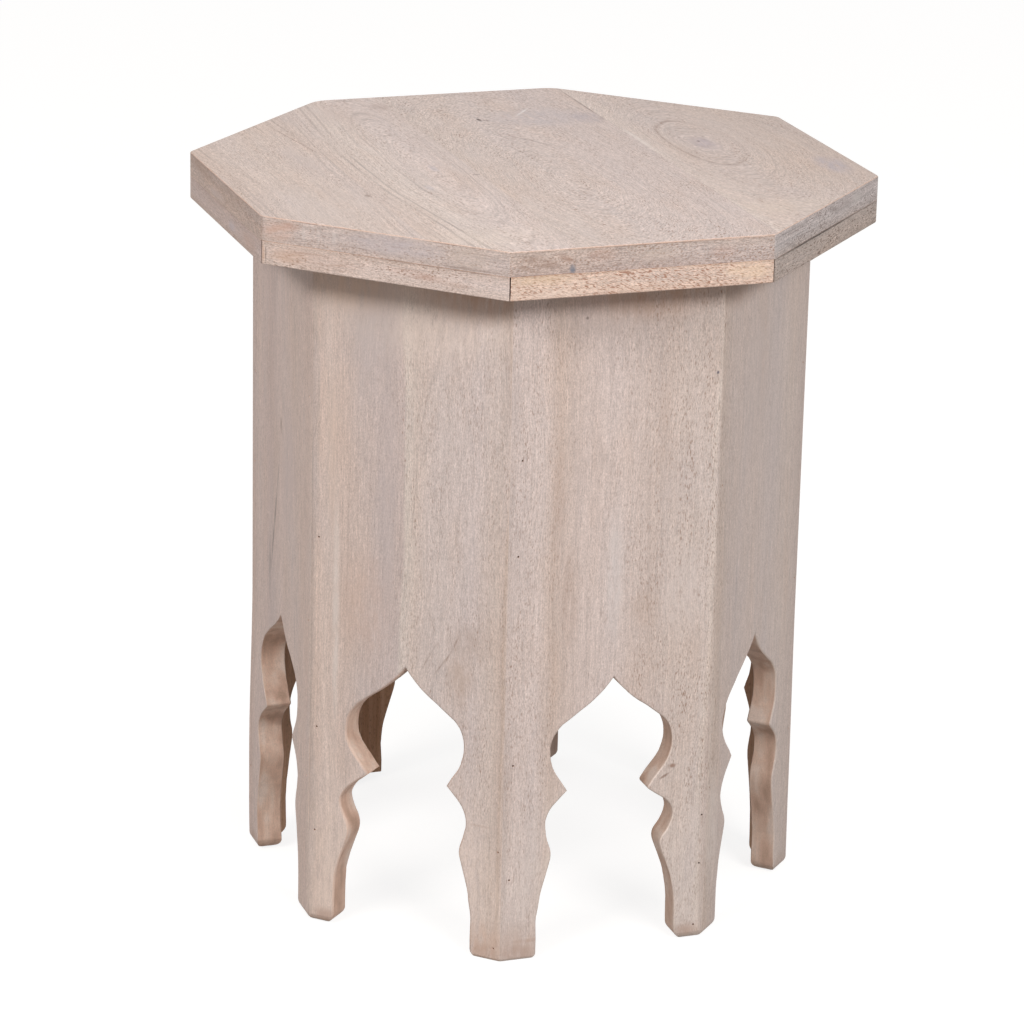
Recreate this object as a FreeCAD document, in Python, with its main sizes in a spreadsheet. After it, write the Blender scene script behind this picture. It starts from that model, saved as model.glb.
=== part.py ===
# Octagonal kursi stool in washed mango wood.
# Eight mitred side panels stand on the legs that a lobed arch leaves at each panel's foot.
# A top of four glued boards lies on them, thickened at its rim by eight mitred strips.
# The origin is the middle of the floor under the stool. +Z is up and side panel 1 faces -Y.
# Panels, strips, cleats and corners are numbered anticlockwise, as seen from above.

import FreeCAD, Part
import os

import Sketcher
from FreeCAD import Placement, Rotation, Vector

SIDES = 8
TURN = 360 / SIDES

SIZES = (
    ("stool_height", 500, "floor to the upper face of the top"),
    ("top_board_thickness", 16.5, "boards of the top"),
    ("top_overhang", 39.5, "top, past the outer faces of the side panels"),
    ("edge_strip_thickness", 15.5, "strips glued under the rim of the top"),
    ("mitre_gap", 0.8, "open line between the ends of two edge strips"),
    ("body_width", 349, "side panels, between opposite outer faces"),
    ("panel_thickness", 18, "side panels"),
    ("arch_height", 195, "floor to the point of the arch"),
    ("arch_width", 96, "arch at the floor"),
    ("arch_shift", 1.3, "arch template, to the right of the panel's middle"),
    ("left_board_top_width", 63.4, "left board of a glued panel, at its upper end"),
    ("left_board_foot_width", 72.8, "left board of a glued panel, at the floor"),
    ("corner_block_leg", 32, "glue block, along each of its two panels"),
    ("corner_block_rise", 20, "foot of the glue block, above the point of the arch"),
    ("cleat_size", 22, "square section of the cleats under the top"),
    ("cleat_end_gap", 3, "cleat to the glue block beside it"),
    ("pin_width", 1.3, "diameter of the steel pins at the mitres"),
    ("pin_length", 17, "steel pins"),
    ("pin_set_depth", 1, "pin heads, below the face of the wood"),
    ("pin_lean_angle", 8, "degrees that a pin leans toward its corner"),
    ("screw_width", 3.5, "diameter of the cleat screws"),
    ("screw_head_width", 7, "countersunk heads"),
    ("screw_head_depth", 2.4, "countersunk heads"),
    ("screw_tip_length", 4, "point of the screws"),
    ("screw_bite", 10, "screw into the piece behind its cleat"),
    ("hole_clearance", 0.05, "wood to steel, all round"),
    ("overrun", 5, "how far a cut runs past the wood"),
)

# One half of the arch, from its point down to the floor, as shares of half its width and of
# its height. Each row is the end of one cut, then the middle of that cut where it is round.
ARCH_SHARES = (
    (0.469, 0.892, 0.231, 0.936),
    (0.719, 0.845),
    (0.850, 0.754, 0.821, 0.805),
    (0.756, 0.667, 0.829, 0.708),
    (0.596, 0.610),
    (0.608, 0.597, 0.592, 0.605),
    (0.765, 0.564),
    (0.904, 0.487, 0.848, 0.538),
    (0.833, 0.410, 0.881, 0.449),
    (0.827, 0.349, 0.810, 0.374),
    (0.929, 0.256),
    (1.0, 0.138, 0.977, 0.195),
)

# Pins of one corner: distance from the corner as a share of the panel's thickness, and height
# as a share of the stool's, for the panel on the corner's right and for the one on its left.
PIN_SHARES = {
    "front": {
        "right": ((0.36, 0.280), (0.31, 0.118), (0.39, 0.570), (0.47, 0.700)),
        "left": ((0.15, 0.158), (0.27, 0.019)),
    },
    "east": {
        "right": ((0.22, 0.292), (0.22, 0.216), (0.33, 0.640)),
        "left": ((0.19, 0.180), (0.23, 0.110), (0.37, 0.021)),
    },
    "west": {
        "right": ((0.29, 0.284), (0.28, 0.135), (0.32, 0.552)),
        "left": ((0.30, 0.208), (0.26, 0.430), (0.34, 0.740)),
    },
}
PIN_PATTERNS = ("front", "east", "west", "front", "east", "west", "front", "west")

# Glue lines between the boards of the top, from its left edge, as shares of its width.
TOP_SEAM_SHARES = (0.196, 0.397, 0.715)

# Panels that are glued up from two boards.
GLUED_PANELS = (4, 8)

# Screws through a cleat into its panel, as shares of half the cleat's length.
PANEL_SCREW_SHARES = (-0.6, 0.6)

# Distances that several pieces share, as sums of the driving dimensions.
HALF_SIDE = "tan(22.5 deg)"
TOP_HALF = "(sizes.body_width / 2 + sizes.top_overhang)"
BODY_HALF = "sizes.body_width / 2"
INNER_HALF = "(sizes.body_width / 2 - sizes.panel_thickness)"
TOP_UNDERSIDE = "(sizes.stool_height - sizes.top_board_thickness)"
CLEAT_HALF = f"({INNER_HALF} * {HALF_SIDE} - sizes.corner_block_leg - sizes.cleat_end_gap)"


def make_sheet(doc):
    """The driving dimensions, in millimetres and degrees."""
    sheet = doc.addObject("Spreadsheet::Sheet", "sizes")
    for row, (name, value, note) in enumerate(SIZES, start=1):
        sheet.set(f"A{row}", name)
        sheet.set(f"B{row}", str(value))
        sheet.setAlias(f"B{row}", name)
        sheet.set(f"C{row}", note)
    doc.recompute()
    return sheet


def worth(item, expression):
    """The number that an expression in the driving dimensions comes to."""
    return float(item.evalExpression(expression))


def add_cut(sketch, start, corner):
    """One straight or round cut from a point to a corner. Returns it and which end the corner is."""
    end = Vector(worth(sketch, corner[0]), worth(sketch, corner[1]))
    if len(corner) == 2:
        return sketch.addGeometry(Part.LineSegment(start, end), False), 2, end
    middle = Vector(worth(sketch, corner[2]), worth(sketch, corner[3]))
    anticlockwise = (middle - start).cross(end - start).z > 0
    if anticlockwise:
        return sketch.addGeometry(Part.ArcOfCircle(start, middle, end), False), 2, end
    return sketch.addGeometry(Part.ArcOfCircle(end, middle, start), False), 1, end


def tie(sketch, geometry, end, x, y):
    """Ties a point of the sketch to two expressions."""
    for kind, expression in (("DistanceX", x), ("DistanceY", y)):
        value = worth(sketch, expression)
        number = sketch.addConstraint(Sketcher.Constraint(kind, -1, 1, geometry, end, value))
        name = f"{kind}_{geometry}_{end}"
        sketch.renameConstraint(number, name)
        sketch.setExpression(f"Constraints.{name}", expression)


def draw(sketch, corners):
    """Draws a closed outline and ties each of its corners, and the middle of each round cut."""
    last = corners[-1]
    point = Vector(worth(sketch, last[0]), worth(sketch, last[1]))
    cuts = []
    for corner in corners:
        geometry, end, point = add_cut(sketch, point, corner)
        cuts.append((geometry, end))
    for number, corner in enumerate(corners):
        geometry, end = cuts[number]
        following, far_end = cuts[(number + 1) % len(cuts)]
        near_end = 3 - far_end
        sketch.addConstraint(Sketcher.Constraint("Coincident", geometry, end, following, near_end))
        tie(sketch, geometry, end, corner[0], corner[1])
        if len(corner) > 2:
            middle = Vector(worth(sketch, corner[2]), worth(sketch, corner[3]))
            marker = sketch.addGeometry(Part.Point(middle), True)
            sketch.addConstraint(Sketcher.Constraint("PointOnObject", marker, 1, geometry))
            tie(sketch, marker, 1, corner[2], corner[3])


def add_sketch(body, name, role, corners):
    """An outline on one of the body's own origin planes."""
    sketch = body.newObject("Sketcher::SketchObject", f"{name}_outline")
    plane = next(feature for feature in body.Origin.OriginFeatures if feature.Role == role)
    sketch.AttachmentSupport = [(plane, "")]
    sketch.MapMode = "FlatFace"
    draw(sketch, corners)
    return sketch


def make_prism(doc, name, corners, foot, rise, number=0):
    """A piece of one plan outline, stood up from its foot and turned to its side of the stool."""
    body = doc.addObject("PartDesign::Body", name)
    body.Label = name
    sketch = add_sketch(body, name, "XY_Plane", corners)
    sketch.setExpression("AttachmentOffset.Base.z", foot)
    pad = body.newObject("PartDesign::Pad", f"{name}_pad")
    pad.Profile = sketch
    pad.setExpression("Length", rise)
    body.Tip = pad
    body.Placement = Placement(Vector(), Rotation(Vector(0, 0, 1), number * TURN))
    return body


def mitred_plan(outer, inner, gap="0"):
    """Plan of a length of wood between two mitres, on the front side of the stool."""
    ends = (f"({outer} * {HALF_SIDE} - {gap})", f"({inner} * {HALF_SIDE} - {gap})")
    return (
        (f"-{ends[0]}", f"-{outer}"),
        (f"{ends[0]}", f"-{outer}"),
        (f"{ends[1]}", f"-{inner}"),
        (f"-{ends[1]}", f"-{inner}"),
    )


def arch_corner(side, row):
    """One row of the arch's shares as expressions, right (1) or left (-1) of its middle."""
    corner = ()
    for reach_share, rise_share in zip(row[::2], row[1::2]):
        corner += (
            f"sizes.arch_shift + {side} * sizes.arch_width / 2 * {reach_share}",
            f"sizes.arch_height * {rise_share}",
        )
    return corner


def make_arch_template(doc):
    """The wood that the arch template takes out at the front side, run past both faces."""
    body = doc.addObject("PartDesign::Body", "arch_template")
    falling = [arch_corner(1, row) for row in ARCH_SHARES]
    mirrored = [arch_corner(-1, row) for row in ARCH_SHARES]
    point = ("sizes.arch_shift", "sizes.arch_height")
    feet = [(f"sizes.arch_shift + {side} * sizes.arch_width / 2", "-sizes.overrun") for side in (1, -1)]
    ends = [point] + [corner[:2] for corner in mirrored]
    rising = [end + corner[2:] for end, corner in zip(ends, mirrored)]
    corners = falling + feet + ends[-1:] + rising[::-1]
    sketch = add_sketch(body, "arch_template", "XZ_Plane", corners)
    sketch.setExpression("AttachmentOffset.Base.z", f"{BODY_HALF} + sizes.overrun")
    pad = body.newObject("PartDesign::Pad", "arch_template_pad")
    pad.Profile = sketch
    pad.Reversed = True
    pad.setExpression("Length", "sizes.panel_thickness + 2 * sizes.overrun")
    body.Tip = pad
    return body


def make_turning(doc, name, profile):
    """A round piece about +Z, from half its section."""
    body = doc.addObject("PartDesign::Body", name)
    sketch = add_sketch(body, name, "XZ_Plane", profile)
    revolution = body.newObject("PartDesign::Revolution", f"{name}_turning")
    revolution.Profile = sketch
    revolution.ReferenceAxis = (sketch, ["V_Axis"])
    revolution.Angle = 360
    body.Tip = revolution
    return body


def make_pin(doc, name, room, head):
    """A headless steel pin, or the hole for it, driven along +Z from the face of the wood."""
    radius = f"sizes.pin_width / 2 + {room}"
    tip = f"sizes.pin_set_depth + sizes.pin_length + {room}"
    return make_turning(doc, name, (("0", head), (radius, head), (radius, tip), ("0", tip)))


def make_screw(doc, name, room, head):
    """A countersunk wood screw, or the hole for it, driven along +Z from the face of its cleat."""
    head_radius = f"sizes.screw_head_width / 2 + {room}"
    radius = f"sizes.screw_width / 2 + {room}"
    tip = f"sizes.cleat_size + sizes.screw_bite + {room}"
    profile = (
        ("0", head),
        (head_radius, head),
        (head_radius, "0"),
        (radius, "sizes.screw_head_depth"),
        (radius, f"{tip} - sizes.screw_tip_length"),
        ("0", tip),
    )
    if head == "0":
        profile = profile[:1] + profile[2:]
    return make_turning(doc, name, profile)


def link(doc, source, placement):
    """The same piece again, in another place."""
    copy = doc.addObject("App::Link", f"{source.Name}_copy")
    copy.LinkedObject = source
    copy.Placement = placement
    return copy


def group(doc, name, members):
    """Several loose pieces as one item."""
    compound = doc.addObject("Part::Compound", name)
    compound.Label = name
    compound.Links = members
    return compound


def cut(doc, name, wood, tool):
    """The wood with its arch or its holes taken out."""
    piece = doc.addObject("Part::Cut", name)
    piece.Label = name
    piece.Base = wood
    piece.Tool = tool
    return piece


def pin_placements(sheet, corner):
    """Where the pins of one corner enter, with +Z along each pin."""
    thickness = worth(sheet, "sizes.panel_thickness")
    height = worth(sheet, "sizes.stool_height")
    outer = worth(sheet, BODY_HALF)
    half_side = worth(sheet, f"{BODY_HALF} * {HALF_SIDE}")
    lean = worth(sheet, "sizes.pin_lean_angle")
    inward = Rotation(Vector(0, 0, 1), Vector(0, 1, 0))
    placements = []
    for side, toward, number in (("right", -1, corner), ("left", 1, corner - 1)):
        turn = Rotation(Vector(0, 0, 1), number * TURN)
        tilt = Rotation(Vector(0, 0, 1), -toward * lean)
        for distance_share, height_share in PIN_SHARES[PIN_PATTERNS[corner]][side]:
            entry = Vector(toward * (half_side - distance_share * thickness), -outer, height_share * height)
            placements.append(Placement(turn.multVec(entry), turn * tilt * inward))
    return placements


def panel_screw_placements(sheet, number):
    """The screws of one cleat into its panel."""
    cleat_half = worth(sheet, CLEAT_HALF)
    back = worth(sheet, f"{INNER_HALF} - sizes.cleat_size")
    level = worth(sheet, f"{TOP_UNDERSIDE} - sizes.cleat_size / 2")
    turn = Rotation(Vector(0, 0, 1), number * TURN)
    outward = Rotation(Vector(0, 0, 1), Vector(0, -1, 0))
    heads = [Vector(share * cleat_half, -back, level) for share in PANEL_SCREW_SHARES]
    return [Placement(turn.multVec(head), turn * outward) for head in heads]


def top_screw_placement(sheet, number):
    """The screw of one cleat up into the top."""
    middle = worth(sheet, f"{INNER_HALF} - sizes.cleat_size / 2")
    foot = worth(sheet, f"{TOP_UNDERSIDE} - sizes.cleat_size")
    turn = Rotation(Vector(0, 0, 1), number * TURN)
    return Placement(turn.multVec(Vector(0, -middle, foot)), turn)


def make_panel(doc, number, tool):
    """One side panel, of one board or of two that meet at a slanting glue line."""
    outline = mitred_plan(BODY_HALF, INNER_HALF)
    title = f"side_panel_{number + 1}"
    if number + 1 not in GLUED_PANELS:
        wood = make_prism(doc, f"{title}_blank", outline, "0", TOP_UNDERSIDE, number)
        return [cut(doc, title, wood, tool)]
    boards = []
    corner = f"{BODY_HALF} * {HALF_SIDE}"
    past = f"({corner} + sizes.overrun)"
    for side, far in (("left", past), ("right", f"-{past}")):
        name = f"{title}_{side}_board"
        wood = make_prism(doc, f"{name}_blank", outline, "0", TOP_UNDERSIDE, number)
        corners = (
            (f"sizes.left_board_foot_width - {corner}", "0"),
            (far, "0"),
            (far, TOP_UNDERSIDE),
            (f"sizes.left_board_top_width - {corner}", TOP_UNDERSIDE),
        )
        rip = wood.newObject("PartDesign::Pocket", f"{name}_rip")
        rip.Profile = add_sketch(wood, f"{name}_rip", "XZ_Plane", corners)
        rip.Type = "ThroughAll"
        rip.SideType = "Symmetric"
        wood.Tip = rip
        boards.append(cut(doc, name, wood, tool))
    return boards


def make_edge_strip(doc, number):
    """One strip under the rim of the top, mitred to its neighbours and tight to its panel."""
    gap = "sizes.mitre_gap / 2 / cos(22.5 deg)"
    outline = mitred_plan(TOP_HALF, BODY_HALF, gap)
    foot = f"{TOP_UNDERSIDE} - sizes.edge_strip_thickness"
    return make_prism(doc, f"edge_strip_{number + 1}", outline, foot, "sizes.edge_strip_thickness", number)


def make_corner_block(doc, number):
    """A glue block up the inside of one corner, above the arches."""
    side = f"-{INNER_HALF} * {HALF_SIDE}"
    outline = (
        (side, f"-{INNER_HALF}"),
        (f"{side} + sizes.corner_block_leg", f"-{INNER_HALF}"),
        (f"{side} - sizes.corner_block_leg * cos(45 deg)", f"-{INNER_HALF} + sizes.corner_block_leg * sin(45 deg)"),
    )
    foot = "sizes.arch_height + sizes.corner_block_rise"
    return make_prism(doc, f"corner_block_{number + 1}", outline, foot, f"{TOP_UNDERSIDE} - ({foot})", number)


def make_cleat(doc, number, tool):
    """The cleat that one panel is screwed to the top with."""
    outline = (
        (f"-{CLEAT_HALF}", f"-{INNER_HALF}"),
        (CLEAT_HALF, f"-{INNER_HALF}"),
        (CLEAT_HALF, f"-{INNER_HALF} + sizes.cleat_size"),
        (f"-{CLEAT_HALF}", f"-{INNER_HALF} + sizes.cleat_size"),
    )
    title = f"cleat_{number + 1}"
    foot = f"{TOP_UNDERSIDE} - sizes.cleat_size"
    wood = make_prism(doc, f"{title}_blank", outline, foot, "sizes.cleat_size", number)
    return cut(doc, title, wood, tool)


def make_top(doc, tool):
    """Four boards ripped from one octagon, with the cleat screws' holes underneath."""
    octagon = doc.addObject("Part::Prism", "top_octagon")
    octagon.Polygon = SIDES
    octagon.setExpression("Circumradius", f"{TOP_HALF} / cos(22.5 deg)")
    octagon.setExpression("Height", "sizes.top_board_thickness")
    octagon.Placement.Rotation = Rotation(Vector(0, 0, 1), TURN / 2)
    octagon.setExpression("Placement.Base.z", TOP_UNDERSIDE)
    width = f"(2 * {TOP_HALF})"
    boards = []
    shares = (0,) + TOP_SEAM_SHARES + (1,)
    for number, left_share in enumerate(shares[:-1], start=1):
        strip = doc.addObject("Part::Box", f"top_board_{number}_width")
        strip.setExpression("Length", f"{width} * {shares[number] - left_share}")
        strip.setExpression("Width", width)
        strip.setExpression("Height", "sizes.top_board_thickness")
        strip.setExpression("Placement.Base.x", f"{width} * {left_share} - {TOP_HALF}")
        strip.setExpression("Placement.Base.y", f"-{TOP_HALF}")
        strip.setExpression("Placement.Base.z", TOP_UNDERSIDE)
        wood = doc.addObject("Part::Common", f"top_board_{number}_blank")
        wood.Base = octagon
        wood.Tool = strip
        boards.append(cut(doc, f"top_board_{number}", wood, tool))
    return boards


def check(doc, pieces):
    """Stops on any object that failed and on any piece without a sound solid."""
    for item in doc.Objects:
        failed = [state for state in item.State if state in ("Invalid", "Error")]
        if failed:
            raise RuntimeError(f"{item.Name} is {failed}")
    for piece in pieces:
        shape = piece.Shape
        if shape.isNull() or not shape.isValid() or not shape.Solids:
            raise RuntimeError(f"{piece.Label} has no sound solid")
        print(f"{piece.Label}: {len(shape.Solids)} solid, {shape.Volume:.0f} cubic mm")


def main():
    doc = FreeCAD.newDocument("kursi_stool")
    sheet = make_sheet(doc)
    corners = range(SIDES)

    pin = make_pin(doc, "pin", "0", "sizes.pin_set_depth")
    pin_hole = make_pin(doc, "pin_hole", "sizes.hole_clearance", "-sizes.overrun")
    screw = make_screw(doc, "screw", "0", "0")
    screw_hole = make_screw(doc, "screw_hole", "sizes.hole_clearance", "-sizes.overrun")
    arch = make_arch_template(doc)

    pin_places = [pin_placements(sheet, corner) for corner in corners]
    side_places = [panel_screw_placements(sheet, number) for number in corners]
    top_places = [top_screw_placement(sheet, number) for number in corners]

    pin_holes = []
    for corner in corners:
        holes = [link(doc, pin_hole, place) for place in pin_places[corner]]
        pin_holes.append(group(doc, f"corner_{corner + 1}_pin_holes", holes))
    side_holes = []
    for number in corners:
        holes = [link(doc, screw_hole, place) for place in side_places[number]]
        side_holes.append(group(doc, f"side_{number + 1}_screw_holes", holes))
    top_holes = [link(doc, screw_hole, place) for place in top_places]

    pieces = make_top(doc, group(doc, "top_screw_holes", top_holes))
    for number in corners:
        turn = Placement(Vector(), Rotation(Vector(0, 0, 1), number * TURN))
        neighbour = (number + 1) % SIDES
        tools = [link(doc, arch, turn), pin_holes[number], pin_holes[neighbour], side_holes[number]]
        pieces += make_panel(doc, number, group(doc, f"side_{number + 1}_cuts", tools))
        pieces.append(make_edge_strip(doc, number))
        pieces.append(make_corner_block(doc, number))
        holes = group(doc, f"cleat_{number + 1}_holes", [side_holes[number], top_holes[number]])
        pieces.append(make_cleat(doc, number, holes))

    pins = [link(doc, pin, place) for places in pin_places for place in places]
    pieces.append(group(doc, "corner_pins", pins))
    side_screws = [link(doc, screw, place) for places in side_places for place in places]
    pieces.append(group(doc, "cleat_to_panel_screws", side_screws))
    pieces.append(group(doc, "cleat_to_top_screws", [link(doc, screw, place) for place in top_places]))

    doc.recompute()
    check(doc, pieces)
    os.makedirs("parts", exist_ok=True)
    for piece in pieces:
        piece.Shape.exportStep(f"parts/{piece.Label}.step")


main()
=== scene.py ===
import math

import bmesh
import bpy
from mathutils import Matrix, Vector, noise


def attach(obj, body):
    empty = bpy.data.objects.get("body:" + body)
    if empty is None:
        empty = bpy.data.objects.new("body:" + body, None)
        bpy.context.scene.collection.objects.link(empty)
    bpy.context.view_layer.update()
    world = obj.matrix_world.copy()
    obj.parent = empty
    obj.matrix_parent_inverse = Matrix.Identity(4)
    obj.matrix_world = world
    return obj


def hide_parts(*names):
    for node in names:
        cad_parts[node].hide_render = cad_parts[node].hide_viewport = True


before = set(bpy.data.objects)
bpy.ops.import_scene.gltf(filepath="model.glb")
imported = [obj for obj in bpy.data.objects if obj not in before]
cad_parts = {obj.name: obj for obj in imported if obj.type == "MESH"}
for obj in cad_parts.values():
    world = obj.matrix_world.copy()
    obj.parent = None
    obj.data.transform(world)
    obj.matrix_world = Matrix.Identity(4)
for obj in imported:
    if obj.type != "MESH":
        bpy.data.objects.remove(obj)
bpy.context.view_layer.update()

MM = 0.001


# Side panels. Eight planed mango boards stand on end and meet in mitred corners. Each is bandsawn to the
# same lobed arch, so that it ends in two half feet. Panels 4 and 8 are glued up from two narrower boards.
# All eight are sanded, washed with thin white paint that stays grey-pink in the grain, and left matt.

BODY_WIDTH = 349 * MM          # between opposite faces
PANEL_WIDTH = BODY_WIDTH * math.tan(math.radians(22.5))
PANEL_THICK = 18 * MM
CORNER_HALF_ANGLE = math.radians(67.5)
UP = Vector((0, 0, 1))


def outward(number):
    """The way that side number 1 to 8 faces. Side 1 faces -Y and the numbers run anticlockwise."""
    turn = math.radians(-90 + 45 * (number - 1))
    return Vector((math.cos(turn), math.sin(turn), 0))


def joined_copy(node):
    """The CAD piece's own surface with its corners joined and each flat face whole."""
    bm = bmesh.new()
    bm.from_mesh(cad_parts[node].data)
    bmesh.ops.remove_doubles(bm, verts=bm.verts, dist=0.002 * MM)
    bmesh.ops.dissolve_limit(bm, angle_limit=math.radians(0.4), verts=bm.verts, edges=bm.edges)
    return bm


def shave(bm, point, normal, parts=None):
    """Plane the piece, or only these parts of it, down to a flat, and close it again."""
    parts = parts or bm.verts[:] + bm.edges[:] + bm.faces[:]
    cut = bmesh.ops.bisect_plane(bm, geom=parts, dist=0.0005 * MM, plane_co=point, plane_no=normal,
                                 clear_outer=True)
    rim = [part for part in cut["geom_cut"] if isinstance(part, bmesh.types.BMEdge)]
    if rim:
        bmesh.ops.holes_fill(bm, edges=rim)


def round_corner(bm, azimuth, reach, radius, flats=3):
    """Sand an upright corner of the octagon round, in narrow flats that the shading makes smooth."""
    spoke = Vector((math.cos(azimuth), math.sin(azimuth), 0))
    centre = spoke * (reach - radius / math.sin(CORNER_HALF_ANGLE))
    for step in range(flats):
        lean = math.radians(45) * ((step + 1) / (flats + 1) - 0.5)
        normal = Matrix.Rotation(lean, 3, "Z") @ spoke
        shave(bm, centre + normal * radius, normal)


def ease(bm, edges, width, segments=2):
    """Take the sharp arris off these edges."""
    if edges:
        bmesh.ops.bevel(bm, geom=edges, offset=width, offset_type="OFFSET", segments=segments, profile=0.5,
                        affect="EDGES", clamp_overlap=True, material=-1)


def piece(name, bm, slot, materials, *nodes):
    """Turn the finished mesh into a piece of the stool that stands for its CAD nodes."""
    bmesh.ops.recalc_face_normals(bm, faces=bm.faces)
    mesh = bpy.data.meshes.new(name)
    bm.to_mesh(mesh)
    bm.free()
    mesh.polygons.foreach_set("use_smooth", [True] * len(mesh.polygons))
    mesh.set_sharp_from_angle(angle=math.radians(35))
    for material in materials:
        mesh.materials.append(material)
    thing = bpy.data.objects.new(name, mesh)
    bpy.context.scene.collection.objects.link(thing)
    flats = thing.modifiers.new("flat faces stay flat", "WEIGHTED_NORMAL")
    flats.keep_sharp = True
    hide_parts(*nodes)
    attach(thing, "root")
    return thing


def colour(hex_code):
    """An sRGB hex colour as the linear colour that a shader takes."""
    channels = [int(hex_code[i:i + 2], 16) / 255 for i in (0, 2, 4)]
    return [c / 12.92 if c <= 0.04045 else ((c + 0.055) / 1.055) ** 2.4 for c in channels] + [1.0]


def add(tree, kind, inputs=None, stops=None, **settings):
    """Add one shader node. Inputs are values, other nodes' outputs, or nodes for their first output."""
    node = tree.nodes.new("ShaderNode" + kind)
    for name, value in settings.items():
        setattr(node, name, value)
    for key, value in (inputs or {}).items():
        if isinstance(value, bpy.types.Node):
            value = value.outputs[0]
        if isinstance(value, bpy.types.NodeSocket):
            tree.links.new(value, node.inputs[key])
        else:
            node.inputs[key].default_value = value
    if stops:
        elements = node.color_ramp.elements
        elements[0].position, elements[0].color = stops[0]
        elements[1].position, elements[1].color = stops[-1]
        for place, tone in stops[1:-1]:
            elements.new(place).color = tone
    return node


def bare_tree(owner):
    """The node tree of a new material or world, with nothing in it."""
    owner.use_nodes = True
    owner.node_tree.nodes.clear()
    return owner.node_tree


def mottle(tree, source, size, place=(0, 0, 0), detail=2.0, turn=(0, 0, 0), **more):
    """Cloudy noise in patches of this size in mm: across, into the face and along the grain."""
    cloud = add(tree, "Mapping", {"Vector": source, "Location": place, "Rotation": turn, "Scale": size},
                vector_type="TEXTURE")
    return add(tree, "TexNoise", {"Vector": cloud, "Scale": 1.0, "Detail": detail, **more})


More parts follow.
